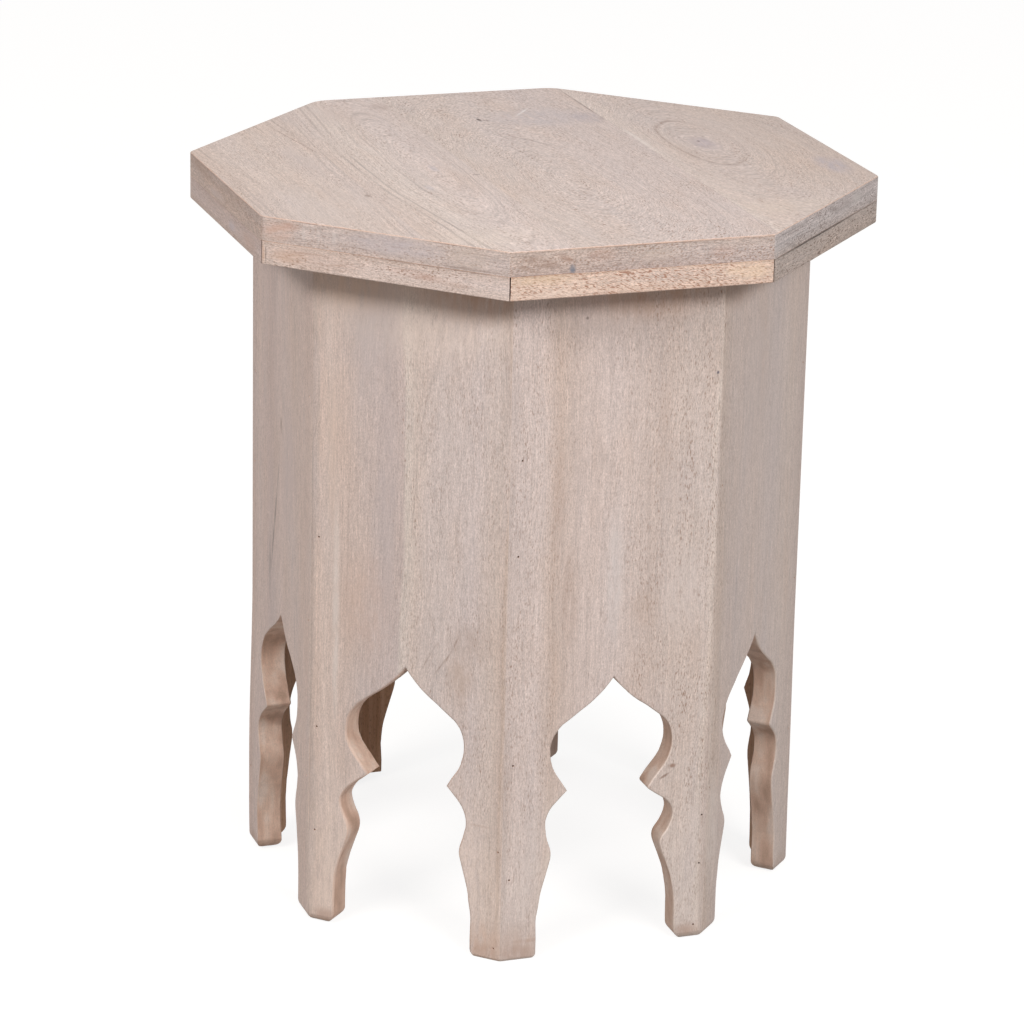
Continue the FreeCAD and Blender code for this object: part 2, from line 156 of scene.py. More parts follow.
def washed_mango(name, origin, depth, along, width, bands, seed, rings=(40, 160, 200, 0.1, 2.4, 0.12),
                 wander=7, speckle=1.0, pores=0.5, pore_size=(0.6, 3.0), pore_tone="957a6b", slant=0.0,
                 pore_bands=None, marks=(), knots=(), arris_wear_and_highlight=0.6, arris_wear_and_highlight_tone="dccabd", sawn=1.04,
                 inside=True, figured=False):
    """Mango, planed and sanded, under a thin white wash.

    The eye gets a matt grey-pink ground in soft lengthwise bands, a dense fine speckle of short fibres
    where the wash lies in the grain, growth rings, and the vessels of the wood as darker dashes. Sawn edges
    are browner and smoother, and faces that the wash never reached keep the brown of the bare wood.
    Sizes in the board's own frame are in mm: across, into its face, and along its grain. Bands are places
    across with their colours. Rings are the middle of their ovals across, behind the face and along it, how
    drawn out they are, their spacing and their strength. Each mark is its middle across and along, its half
    width and half length, colour, strength and turn. Sawn is how light the sawn edges are, or 0 for none.
    """
    material = bpy.data.materials.new(name)
    tree = bare_tree(material)
    across = depth.cross(along)
    turn = Matrix((across, depth, along)).transposed().to_euler()
    where = add(tree, "TexCoord")
    board = add(tree, "Mapping", {"Vector": where.outputs["Object"], "Location": origin, "Rotation": turn,
                                  "Scale": (MM, MM, MM)}, vector_type="TEXTURE")

    # The trunk was never straight: everything that grew wanders a few millimetres off the board's line.
    bend = mottle(tree, board, (80, 80, 220), (seed * 37.0, seed * 11.0, seed * 53.0))
    bend = add(tree, "VectorMath", {0: bend.outputs["Color"], 1: (0.5, 0.5, 0.5)}, operation="SUBTRACT")
    bend = add(tree, "VectorMath", {0: bend, 1: (wander * 3, wander * 3, wander * 3)},
               operation="MULTIPLY")
    grown = add(tree, "VectorMath", {0: board, 1: bend}, operation="ADD")

    # Round a knot the grain parts and closes again.
    reaches = []
    for knot in knots:
        (x, z), (wide, long) = knot["at"], knot["size"]
        near = add(tree, "Mapping", {"Vector": grown, "Location": (x, 0, z), "Scale": (wide, 1e4, long)},
                   vector_type="TEXTURE")
        reach = add(tree, "VectorMath", {0: near}, operation="LENGTH").outputs["Value"]
        side = add(tree, "SeparateXYZ", {0: near})
        side_shows = add(tree, "MapRange", {"Value": side.outputs[0], "From Min": -0.1, "From Max": 0.8,
                                            "To Min": 1.0, "To Max": 0.3})
        reaches.append((reach, side_shows))
        strength = add(tree, "Math", {0: side.outputs[0]}, operation="ABSOLUTE")
        strength = add(tree, "Math", {0: strength, 1: 0.12}, operation="ADD")
        strength = add(tree, "Math", {0: side.outputs[0], 1: strength}, operation="DIVIDE")
        fade = add(tree, "MapRange", {"Value": reach, "From Min": 0.0, "From Max": 2.6,
                                      "To Min": knot["push"], "To Max": 0.0},
                   interpolation_type="SMOOTHSTEP")
        push = add(tree, "Math", {0: strength, 1: fade}, operation="MULTIPLY")
        push = add(tree, "CombineXYZ", {0: push})
        grown = add(tree, "VectorMath", {0: grown, 1: push}, operation="SUBTRACT")

    parts = add(tree, "SeparateXYZ", {0: grown})

    # Growth rings, cut lengthwise into long ovals. Their dark late wood shows in some places only.
    spacing, ring_strength = rings[4:]
    radius = add(tree, "VectorMath", {0: grown, 1: rings[:3]}, operation="SUBTRACT")
    radius = add(tree, "VectorMath", {0: radius, 1: (1, 1, rings[3])}, operation="MULTIPLY")
    radius = add(tree, "VectorMath", {0: radius}, operation="LENGTH")
    fibres = grown
    if figured:
        # A flat-sawn board: its fibres and vessels follow the rings round their ovals.
        turning = add(tree, "Math", {0: parts.outputs[0], 1: 0.30}, operation="MULTIPLY")
        fibres = add(tree, "CombineXYZ", {0: radius.outputs["Value"], 1: turning, 2: parts.outputs[2]})
    radius = add(tree, "Math", {0: radius.outputs["Value"], 1: float(spacing)}, operation="DIVIDE")
    growth = add(tree, "TexNoise", {"W": radius, "Scale": 1.0, "Detail": 2.0, "Roughness": 0.6},
                 noise_dimensions="1D")
    patch = mottle(tree, board, (30, 30, 75), (seed * 23.0, 0, seed * 41.0), 1.0)
    patch = add(tree, "MapRange", {"Value": patch, "From Min": 0.35, "From Max": 0.65,
                                   "To Min": 0.15, "To Max": 1.2})
    figure = add(tree, "MapRange", {"Value": growth, "From Min": 0.50, "From Max": 0.72,
                                    "To Min": 0.25 * ring_strength, "To Max": -2.0 * ring_strength})
    figure = add(tree, "Math", {0: figure, 1: patch, 2: 1.0}, operation="MULTIPLY_ADD")

    # Ground colour in bands along the board, each stop a place across it in mm.
    share = add(tree, "Math", {0: parts.outputs[0], 1: float(width)}, operation="DIVIDE")
    ground = add(tree, "ValToRGB", {0: share},
                 stops=[(place / width, colour(tone)) for place, tone in bands])

    # Slow drift between a yellower and a lilac wash, in patches the size of a hand.
    drift = mottle(tree, board, (26, 26, 120), (seed * 91.0, 0, seed * 17.0), 3.0, Roughness=0.55)
    lilac = add(tree, "MapRange", {"Value": drift, "From Min": 0.52, "From Max": 0.78, "To Max": 0.5})
    straw = add(tree, "MapRange", {"Value": drift, "From Min": 0.48, "From Max": 0.24, "To Max": 0.35})
    for share_of, wash in ((lilac, "beb1ae"), (straw, "c6ac9b")):
        ground = add(tree, "Mix", {0: share_of, 6: ground, 7: colour(wash)}, data_type="RGBA").outputs[2]

    # Fibres of every length change the tone: each row is size across, size along, detail and swing.
    tone = figure
    layers = []
    for order, (wide, long, detail, swing) in enumerate((
            (0.6, 1.3, 1.0, 0.32 * speckle), (0.6, 7.0, 1.0, 0.24 * speckle), (1.1, 36.0, 2.0, 0.16),
            (4.0, 100.0, 2.0, 0.11))):
        layers.append(mottle(tree, fibres, (wide, wide, long), (seed * 7.0, 0, (seed + order) * 31.0),
                             detail))
        step = add(tree, "MapRange", {"Value": layers[-1], "To Min": 1 - swing, "To Max": 1 + swing})
        tone = add(tree, "Math", {0: tone, 1: step}, operation="MULTIPLY")
    grit, _, fibre, broad = layers
    ground = add(tree, "Mix", {0: 1.0, 6: ground, 7: tone}, data_type="RGBA",
                 blend_type="MULTIPLY").outputs[2]

    # Vessels cut open by the plane: darker dashes on a long face, dots on an end, crowded in some growth.
    dash = mottle(tree, fibres, (pore_size[0], *pore_size), (0, seed * 3.0, seed * 29.0), 1.0,
                  (0, slant, 0), Roughness=0.45)
    crowd = mottle(tree, grown, (9, 9, 50), (seed * 19.0, 0, 0))
    crowd = add(tree, "MapRange", {"Value": crowd, "From Min": 0.3, "From Max": 0.7,
                                   "To Min": 0.4 * pores, "To Max": 1.6 * pores})
    if pore_bands:
        here = add(tree, "ValToRGB", {0: share},
                   stops=[(place / width, (level, level, level, 1)) for place, level in pore_bands])
        crowd = add(tree, "Math", {0: crowd, 1: here}, operation="MULTIPLY")
    dash = add(tree, "MapRange", {"Value": dash, "From Min": 0.53, "From Max": 0.72})
    dash = add(tree, "Math", {0: dash, 1: crowd}, operation="MULTIPLY", use_clamp=True)
    ground = add(tree, "Mix", {0: dash, 6: ground, 7: colour(pore_tone)}, data_type="RGBA").outputs[2]

    # Marks that this board has, each a soft ellipse broken up by the grain: stains, smears and patches, and
    # on the front panels painted shade under the rim and painted light over that shade and on the legs.
    ragged = mottle(tree, grown, (4, 4, 14), (0, 0, seed * 13.0), 3.0)
    ragged = add(tree, "MapRange", {"Value": ragged, "From Min": 0.3, "From Max": 0.6,
                                    "To Min": 0.3, "To Max": 1.0})
    for mark in marks:
        near = add(tree, "Mapping", {"Vector": board, "Location": (mark[0], 0, mark[1]),
                                     "Rotation": (0, mark[6] if len(mark) > 6 else 0, 0),
                                     "Scale": (mark[2], 1e4, mark[3])}, vector_type="TEXTURE")
        near = add(tree, "VectorMath", {0: near}, operation="LENGTH")
        near = add(tree, "MapRange", {"Value": near.outputs["Value"], "From Min": 1.0, "From Max": 0.25,
                                      "To Max": mark[5]}, interpolation_type="SMOOTHSTEP")
        near = add(tree, "Math", {0: near, 1: ragged}, operation="MULTIPLY")
        ground = add(tree, "Mix", {0: near, 6: ground, 7: colour(mark[4])}, data_type="RGBA").outputs[2]

    # A knot's own outline, and fainter loops inside it: each line a place on its radius and a strength.
    for knot, (reach, side_shows) in zip(knots, reaches):
        none = colour("000000")
        stops = [(0.0, none)]
        for place, strength in knot["lines"]:
            level = (strength, strength, strength, 1)
            stops += [((place - 0.07) / 2, none), (place / 2, level), ((place + 0.07) / 2, none)]
        half = add(tree, "Math", {0: reach, 1: 0.5}, operation="MULTIPLY")
        line = add(tree, "ValToRGB", {0: half}, stops=stops + [(1.0, none)])
        line = add(tree, "Math", {0: line, 1: ragged}, operation="MULTIPLY")
        line = add(tree, "Math", {0: line, 1: side_shows}, operation="MULTIPLY")
        ground = add(tree, "Mix", {0: line, 6: ground, 7: colour("806659")}, data_type="RGBA").outputs[2]

    # Which way the surface faces tells the planed face from a sawn edge, a rubbed arris and the inside. The
    # arris is paler, partly worn wash and partly a painted highlight.
    facing = add(tree, "VectorMath", {0: where.outputs["Normal"], 1: -depth}, operation="DOT_PRODUCT")
    facing = facing.outputs["Value"]
    worn_lit_arris = add(tree, "MapRange", {"Value": facing, "From Min": 0.15, "From Max": 0.6})
    flat = add(tree, "MapRange", {"Value": facing, "From Min": 0.96, "From Max": 0.85})
    worn_lit_arris = add(tree, "Math", {0: worn_lit_arris, 1: flat}, operation="MULTIPLY")
    worn_lit_arris = add(tree, "Math", {0: worn_lit_arris, 1: ragged}, operation="MULTIPLY")
    worn_lit_arris = add(tree, "Math", {0: worn_lit_arris, 1: float(arris_wear_and_highlight)}, operation="MULTIPLY")

    height = add(tree, "Math", {0: dash, 1: -0.7}, operation="MULTIPLY")
    height = add(tree, "Math", {0: fibre, 1: 0.4, 2: height}, operation="MULTIPLY_ADD")
    height = add(tree, "Math", {0: grit, 1: 0.5, 2: height}, operation="MULTIPLY_ADD")
    if sawn:
        # The sawn wall: end grain rubbed smooth, with soft smudges and faint lines through the board.
        smudge = mottle(tree, board, (9, 11, 34), (seed, seed * 9.0, seed * 3.0))
        saw = mottle(tree, board, (3.5, 15, 2.6), (seed, 0, seed * 3.0), 3.0, Distortion=0.7)
        saw_tone = add(tree, "MapRange", {"Value": saw, "From Min": 0.25, "From Max": 0.75,
                                          "To Min": 0.975 * sawn, "To Max": 1.025 * sawn})
        grain = add(tree, "MapRange", {"Value": grit, "To Min": 0.84, "To Max": 1.16})
        saw_tone = add(tree, "Math", {0: saw_tone, 1: grain}, operation="MULTIPLY")
        grain = add(tree, "MapRange", {"Value": fibre, "To Min": 0.88, "To Max": 1.12})
        saw_tone = add(tree, "Math", {0: saw_tone, 1: grain}, operation="MULTIPLY")
        brown = add(tree, "ValToRGB", {0: smudge},
                    stops=[(0.32, colour("ad8f7d")), (0.45, colour("bfa08e")), (0.56, colour("c8ad9c")),
                           (0.68, colour("cfbaad"))])
        brown = add(tree, "Mix", {0: 1.0, 6: brown, 7: saw_tone}, data_type="RGBA", blend_type="MULTIPLY")
        sliver = add(tree, "Math", {0: dash, 1: 0.45}, operation="MULTIPLY")
        brown = add(tree, "Mix", {0: sliver, 6: brown.outputs[2], 7: colour(pore_tone)}, data_type="RGBA")
        edge = add(tree, "Math", {0: facing}, operation="ABSOLUTE")
        edge = add(tree, "MapRange", {"Value": edge, "From Min": 0.6, "From Max": 0.2})
        ground = add(tree, "Mix", {0: edge, 6: ground, 7: brown.outputs[2]}, data_type="RGBA").outputs[2]
        teeth = add(tree, "Math", {0: saw, 1: edge}, operation="MULTIPLY")
        height = add(tree, "Math", {0: height, 1: teeth}, operation="ADD")
    # The arris paler: worn wash, and in part a painted highlight.
    ground = add(tree, "Mix", {0: worn_lit_arris, 6: ground, 7: colour(arris_wear_and_highlight_tone)}, data_type="RGBA").outputs[2]
    if inside:
        back = add(tree, "MapRange", {"Value": facing, "From Min": -0.3, "From Max": -0.7})
        bare = add(tree, "ValToRGB", {0: broad},
                   stops=[(0.3, colour("b98b6a")), (0.5, colour("cfa282")), (0.7, colour("dcb496"))])
        bare = add(tree, "Mix", {0: dash, 6: bare, 7: colour("76563f")}, data_type="RGBA")
        ground = add(tree, "Mix", {0: back, 6: ground, 7: bare.outputs[2]}, data_type="RGBA").outputs[2]

    gloss = add(tree, "MapRange", {"Value": broad, "From Min": 0.3, "From Max": 0.7,
                                   "To Min": 0.58, "To Max": 0.70})
    gloss = add(tree, "Math", {0: dash, 1: 0.15, 2: gloss}, operation="MULTIPLY_ADD")
    bump = add(tree, "Bump", {"Height": height, "Strength": 0.6, "Distance": 0.12 * MM})
    wood = add(tree, "BsdfPrincipled", {"Base Color": ground, "Roughness": gloss, "IOR": 1.45,
                                        "Normal": bump})
    add(tree, "OutputMaterial", {"Surface": wood})
    return material


ARCH_HEIGHT = 195.0
ARCH_MIDDLE = 1.3              # the template was laid a little right of each panel's middle
ARCH_REACH = 56.0              # no arch reaches further than this from the panel's middle
WAIST_HEIGHT = 118.0
WAIST_REACH = 28.4             # the points of the waist, from the panel's middle
LONGEST_STEP = 3.4             # longer stretches of the sawn edge are halved, so that the blade can waver
SAW_FADE = 12.0                # the waver dies out over this height below the arch's point
BODY_CORNER_ROUND = 5 * MM
OUTER_ARRIS, INNER_ARRIS = 1.9 * MM, 1.4 * MM
LEG_LEVELS = range(14, 200, 16)   # heights in mm at which the legs can bend as they splay

# Where the saw left the template, for each panel and the side of its arch: height, then how far out and up.
SAW_DRIFT = {
    (8, -1): [(0, 5.5, 0), (45, 5.5, -1), (73, 4, -2), (95, 6, -3), (118, 1, -3), (148, 5, -4),
              (170, 3, -1), (196, 2.6, 0)],
    (8, 1): [(0, 0, 0), (148, 0, 0), (196, -2.6, 0)],
    (1, -1): [(0, 0, 0), (148, 0, 0), (175, -2.5, 0), (196, -2.1, 0)],
    (1, 1): [(0, 2.5, 0), (25, 2, 0), (45, 1.5, 0), (73, -0.5, 0), (95, 3.6, -2), (118, 0, -4),
             (148, 3.6, -2), (196, 2.1, 0)],
    (7, -1): [(0, 3, 0), (45, 5, 0), (73, 5, 0), (95, 7, 0), (118, 2, 0), (148, 7, 1), (170, 4, 3),
              (196, 0, 2)],
    (2, -1): [(0, 3, 0), (45, 3, 0), (73, 2, 0), (95, 6, 0), (118, 4, 0), (148, 10, 0), (170, 5, 0),
              (196, 0, 0)],
    (2, 1): [(0, 0, 0), (60, 0, 0), (118, 4, 0), (148, 0, 0), (170, -4, 0), (196, 0, 0)],
    (3, 1): [(0, 6, 0), (60, 10, 0), (95, 9, 0), (118, 4, 0), (148, 4, 0), (196, 0, 0)],
    (5, -1): [(0, 1, 0), (95, 2, 0), (118, 0, 0), (148, 2, 0), (196, 0, 0)],
    (5, 1): [(0, 0, 0), (45, 1, 0), (95, -0.5, 0), (118, 0, 0), (196, 0, 0)],
    (4, 1): [(0, 2, 0), (95, 1, 0), (118, 0, 0), (148, 1, 0), (196, 0, 0)],
}
BLUNT_TIPS = ((1, 1), (7, -1), (2, 1))     # waists whose points were sanded blunt
# How far each leg splays from the body's corner line, by corner: height, then how far out.
SPLAY = {6: [(0, 1.8), (25, 2.2), (70, 2.2), (200, 0)], 2: [(0, 1.2), (60, 0.8), (200, 0)],
         0: [(0, 1.2), (200, 0)], 7: [(0, 1.4), (200, 0)], 3: [(0, 2.5), (200, 0)], 4: [(0, 3.0), (200, 0)],
         5: [(0, 3.5), (200, 0)]}
# How round the rasp left each foot.
FOOT_ROUND = {0: 3.2, 1: 6.4, 2: 7.0, 3: 5.5, 4: 5.0, 5: 5.0, 6: 8.0, 7: 7.0}
FOOT_SLOPE = {4: 9, 5: 20}     # two back feet were cut off slanting and rest on their outer edge
FOOT_TOP = 14 * MM


def read_off(table, height):
    """The values at this height in mm, eased between the table's rows."""
    for low, high in zip(table, table[1:]):
        if height <= high[0]:
            part = max(0.0, (height - low[0]) / (high[0] - low[0]))
            part = part * part * (3 - 2 * part)
            return [a + (b - a) * part for a, b in zip(low[1:], high[1:])]
    return [0.0] * (len(table[0]) - 1)


def arch_walls(bm, way):
    """The sawn faces of the arch."""
    def in_arch(face):
        middle = face.calc_center_median()
        return abs(face.normal.dot(way)) < 0.05 and -0.999 < face.normal.z and \
            middle.z < (ARCH_HEIGHT + 1) * MM and abs(middle.dot(UP.cross(way))) < ARCH_REACH * MM
    return [face for face in bm.faces if in_arch(face)]


def arch_edges(bm, way, facing):
    """The edges where the sawn faces of the arch meet the outside (facing 1) or the inside (-1)."""
    return list({edge for face in arch_walls(bm, way) for edge in face.edges
                 if any(other.normal.dot(way) * facing > 0.99 for other in edge.link_faces)})


def saw_arch(bm, way, number):
    """Bring the arch from the template to this panel's own: its drift, and the blade's small waver."""
    side_way = UP.cross(way)
    for side in (-1, 1):
        if (number, side) in BLUNT_TIPS:
            continue
        for depth in (BODY_WIDTH / 2, BODY_WIDTH / 2 - PANEL_THICK):
            tip = [v for v in bm.verts if abs(v.co.dot(way) - depth) < 0.1 * MM
                   and abs(v.co.z - WAIST_HEIGHT * MM) < 1.7 * MM
                   and abs(side * v.co.dot(side_way) - WAIST_REACH * MM) < 3 * MM]
            if tip:
                point = min(tip, key=lambda v: side * v.co.dot(side_way)).co.copy()
                bmesh.ops.pointmerge(bm, verts=tip, merge_co=point)
    bm.normal_update()
    long_edges = [e for e in arch_edges(bm, way, 1) + arch_edges(bm, way, -1)
                  if e.calc_length() > LONGEST_STEP * MM]
    bmesh.ops.subdivide_edges(bm, edges=long_edges, cuts=1)
    bm.normal_update()
    for vert in {v for face in arch_walls(bm, way) for v in face.verts}:
        height = vert.co.z / MM
        side = 1 if vert.co.dot(side_way) > ARCH_MIDDLE * MM else -1
        out, up = read_off(SAW_DRIFT.get((number, side), [(0, 0, 0), (ARCH_HEIGHT, 0, 0)]), height)
        fade = min(1.0, max(0.0, (ARCH_HEIGHT - height) / SAW_FADE))
        slow = noise.noise(Vector((number * 31.0, side * 17.0, height / 11))) * 0.5
        quick = noise.noise(Vector((number * 13.0, side * 29.0, height / 3.6))) * 0.18
        vert.co += (side_way * side * (out + (slow + quick) * fade) + UP * up) * MM


def round_foot(bm, way, side, corner):
    """Rasp one foot round underneath: on its face, in the arch, at the corner and a little inside."""
    side_way = UP.cross(way)
    spoke = Matrix.Rotation(math.radians(22.5 * side), 3, "Z") @ way
    in_arch = side_way * -side
    ways = [(way, 1), (in_arch, 1.4), (spoke, 1), ((way + in_arch).normalized(), 1.3), (-way, 0.9),
            ((in_arch - way).normalized(), 1.2)]
    foot = [v for v in bm.verts if v.co.z < FOOT_TOP * 1.01 and side * v.co.dot(side_way) > 0]
    reaches = [max((v.co.dot(n) for v in foot if v.co.z < 0.1 * MM), default=0) for n, _ in ways]
    if corner in FOOT_SLOPE:
        slope = math.radians(FOOT_SLOPE[corner])
        faces = [f for f in bm.faces if all(v in foot for v in f.verts)]
        edges = {e for f in faces for e in f.edges}
        shave(bm, way * (BODY_WIDTH / 2 - FOOT_ROUND[corner] * MM),
              -way * math.sin(slope) - UP * math.cos(slope), foot + list(edges) + faces)
    for (n, part), reach in zip(ways, reaches):
        radius = FOOT_ROUND[corner] * part * MM
        for tilt in (15, 30, 45, 60, 75):
            foot = {v for v in bm.verts if v.co.z < FOOT_TOP * 1.01 and side * v.co.dot(side_way) > 0}
            if foot:
                faces = [f for f in bm.faces if all(v in foot for v in f.verts)]
                edges = {e for f in faces for e in f.edges}
                normal = n * math.cos(math.radians(tilt)) - UP * math.sin(math.radians(tilt))
                centre = n * (reach - radius) + UP * radius
                shave(bm, centre + normal * radius, normal, list(foot) + list(edges) + faces)


def splay_legs(bm, way, number):
    """Lean each half leg out along its corner's line."""
    for vert in bm.verts:
        side = 1 if vert.co.dot(UP.cross(way)) > ARCH_MIDDLE * MM else -1
        corner = number % 8 if side > 0 else number - 1
        if corner in SPLAY and vert.co.z < 200 * MM:
            spoke = Matrix.Rotation(math.radians(22.5 * side), 3, "Z") @ way
            vert.co += spoke * read_off(SPLAY[corner], vert.co.z / MM)[0] * MM


BANDED_WIDTH = 145.0           # the bands of a panel's ground are placed across this width, in mm

# The panels that show, from the left edge as one faces the panel and up from the floor.
PANEL_BOARDS = {
    1: dict(bands=[(0, "c0afa7"), (4, "cab9b2"), (20, "cebdb6"), (31, "c5b1a6"), (50, "cab8b0"),
                   (72, "cebdb6"), (100, "c7b5ac"), (122, "cab9b0"), (137, "cabab2"), (141, "cfbfb5"),
                   (145, "bdaba2")],
            pore_bands=[(0, 1.1), (28, 1.1), (34, 0.7), (60, 0.5), (95, 1.1), (120, 1.3), (145, 1.4)],
            rings=(60, 45, 150, 0.12, 1.8, 0.035),
            # Painted light: the first mark lightens the lower panel and the legs.
            marks=[(72, 20, 120, 150, "e8dad0", 0.4), (34, 322, 7, 62, "ad9181", 0.3),
                   (43, 252, 9, 46, "ad9283", 0.28),
                   (95, 240, 16, 18, "ab917f", 0.25), (74, 265, 9, 60, "d2c8c4", 0.5),
                   # Painted shade: the grey band at 440 mm at the end of the next line, just under the rim.
                   (106, 360, 8, 50, "b7a093", 0.3), (72, 440, 60, 14, "b3a198", 0.4),
                   (50, 442, 1.3, 1.6, "54463e", 1.0), (141, 399, 1.2, 1.6, "54505e", 1.0),
                   (113, 121, 6, 1.3, "7d5f4f", 0.9, -0.5), (119, 128, 3.5, 2.2, "8d6c5a", 0.8),
                   (12, 6, 16, 9, "a98a79", 0.6), (12, 10, 28, 24, "b79d8f", 0.5),
                   (132, 6, 14, 9, "ab8d7c", 0.65), (24, 14, 22, 2.2, "b59786", 0.6),
                   # Painted shade: the brown mark at 462 mm on the next line is the rim's shadow.
                   (95, 462, 75, 30, "ba9984", 0.75), (122, 250, 22, 50, "cfc1bb", 0.45)]),
    8: dict(bands=[(0, "b7a49b"), (3, "bdaaa0"), (6, "cbb5a9"), (14, "ccb8ad"), (24, "c8b3a8"),
                   (40, "c3b1a9"), (56, "c0afa9"), (67, "c1afa8"), (69.5, "d0c1b7"), (78, "cbb9af"),
                   (95, "cabab3"), (120, "ccbcb6"), (138, "cab8ae"), (141.5, "c6b3a9"),
                   (143.5, "bda89b"), (145, "c3b0a6")],
            pore_bands=[(0, 0.35), (60, 0.45), (70, 1.0), (100, 0.8), (125, 1.0), (145, 0.9)],
            sawn=1.27, arris_wear_and_highlight_tone="cfad98", rings=(98, 30, 120, 0.12, 1.8, 0.04),
            # Painted light: the first two marks lighten the panel under the rim and the lower panel and
            # legs.
            marks=[(72, 442, 110, 44, "e2cfc3", 0.6), (72, 20, 120, 150, "f0d9c9", 0.5),
                   (16, 330, 5, 90, "cbb3a4", 0.4),
                   (19, 230, 4, 110, "d6ccc5", 0.5),
                   (44, 420, 26, 60, "b9aca9", 0.5), (56, 310, 12, 110, "b6a8a5", 0.45),
                   (118, 222, 22, 16, "a99488", 0.45), (112, 196, 14, 26, "b29a8a", 0.5),
                   (40, 235, 26, 60, "c5a797", 0.35), (14, 6, 14, 9, "ad8e7e", 0.6),
                   (133, 6, 14, 9, "a98a79", 0.5), (133, 10, 24, 24, "bf9d89", 0.45),
                   # Painted shade: the brown mark at 462 mm at the end of the next line is the rim's
                   # shadow; the mark after it is painted light in that shadow's left end.
                   (128, 95, 12, 1.2, "b89c8c", 0.4), (115, 462, 60, 30, "bb9882", 0.8),
                   (30, 455, 50, 28, "d6b59d", 0.5),
                   (88, 206, 1.0, 17, "8b7365", 0.55, 0.5), (98, 203, 0.9, 14, "8b7365", 0.5, 0.6),
                   (105, 214, 1.0, 19, "8f7566", 0.5, 0.45), (90, 232, 0.9, 12, "8b7365", 0.4, -0.35)]),
    7: dict(bands=[(0, "c8b0a5"), (20, "ceb9b0"), (40, "c9b3aa"), (47, "c4afa7"), (70, "cfbab1"),
                   (110, "ccb7ad"), (138, "ceb7ac"), (145, "d2beb3")], sawn=1.46,
            pore_bands=[(0, 0.7), (40, 0.4), (110, 0.4), (145, 0.6)],
            rings=(75, 40, 150, 0.12, 2.2, 0.04),
            marks=[(58, 262, 2.4, 56, "82766f", 0.8, 0.23), (46, 222, 3.5, 32, "8b7f79", 0.6),
                   (72, 330, 3, 8, "93796a", 0.7),
                   (90, 300, 24, 70, "c3b1ac", 0.5), (14, 6, 14, 10, "a58673", 0.5)]),
    2: dict(sawn=1.22, bands=[(0, "cebcb1"), (4, "c8b6ab"), (20, "c7b6ae"), (60, "cab9b1"), (90, "c7b8b2"),
                              (120, "ccbbb2"), (145, "c2b1a9")],
            pore_bands=[(0, 1.3), (14, 0.9), (26, 0.35), (145, 0.35)],
            rings=(90, 50, 200, 0.08, 2.2, 0.03),
            marks=[(60, 380, 30, 70, "beb0ab", 0.5), (10, 80, 14, 60, "ddd0c9", 0.5),
                   # Painted shade: the brown mark at 462 mm on the next line is the rim's shadow.
                   (30, 462, 70, 30, "b4917a", 0.7),
                   (132, 6, 14, 9, "ab8f7f", 0.4)]),
}
PLAIN_BANDS = {                # the panels at the back
    3: [(0, "c4b0a6"), (30, "ccbab0"), (62, "c3b1a9"), (96, "cbb7ab"), (128, "c7b4aa"), (145, "c1aca1")],
    4: [(0, "c8b4a8"), (40, "cdbdb4"), (72, "c5b3ab"), (80, "ccb8a9"), (112, "c9b6ac"), (145, "c2ada3")],
    5: [(0, "c5b3aa"), (26, "cbb9ae"), (54, "c2b0a9"), (90, "cdbbb0"), (120, "c5b1a6"), (145, "c4b0a6")],
    6: [(0, "c9b5a8"), (36, "c5b2ab"), (70, "ccbbb2"), (104, "c5b0a3"), (130, "cab8ae"), (145, "c0aca1")],
}


def panel_wood(number, part=""):
    """The wood of one side panel, told apart by its own bands, pores and stains."""
    way = outward(number)
    left = way * (BODY_WIDTH / 2) - UP.cross(way) * (PANEL_WIDTH / 2)
    board = PANEL_BOARDS.get(number) or dict(
        bands=PLAIN_BANDS[number], rings=(30 + 17 * number % 90, 30 + 9 * number, 180, 0.12, 2.0, 0.045),
        marks=[(14, 6, 14, 10, "a98b7a", 0.5), (131, 6, 14, 10, "ab8d7c", 0.5)])
    return washed_mango(f"washed mango, side panel {number}{part}", left, -way, UP.copy(),
                        BANDED_WIDTH, seed=number + (0.5 if part else 0.0), **board)


body_corner_reach = BODY_WIDTH / 2 / math.cos(math.radians(22.5))
for number in range(1, 9):
    way = outward(number)
    boards = [""] if number not in (4, 8) else ["_left_board", "_right_board"]
    for part in boards:
        node = f"side_panel_{number}{part}"
        bm = joined_copy(node)
        saw_arch(bm, way, number)
        for side in (-0.5, 0.5):
            azimuth = math.radians(-90 + 45 * (number - 1 + side))
            round_corner(bm, azimuth, body_corner_reach, BODY_CORNER_ROUND)
        bm.normal_update()
        ease(bm, arch_edges(bm, way, 1), OUTER_ARRIS, 3)
        bm.normal_update()
        ease(bm, arch_edges(bm, way, -1), INNER_ARRIS)
        for level in LEG_LEVELS:
            bmesh.ops.bisect_plane(bm, geom=bm.verts[:] + bm.edges[:] + bm.faces[:], dist=0.01 * MM,
                                   plane_co=(0, 0, level * MM), plane_no=UP)
        for side in (-1, 1):
            round_foot(bm, way, side, number % 8 if side > 0 else number - 1)
        splay_legs(bm, way, number)
        piece(node.replace("side_panel", "washed_panel"), bm, "panel_wood",
              [panel_wood(number, part.replace("_", " "))], node)


# Corner glue blocks. Rough triangular lengths of the same mango, unwashed and straight off the saw, glued
# up the inside of each mitre above the arches.

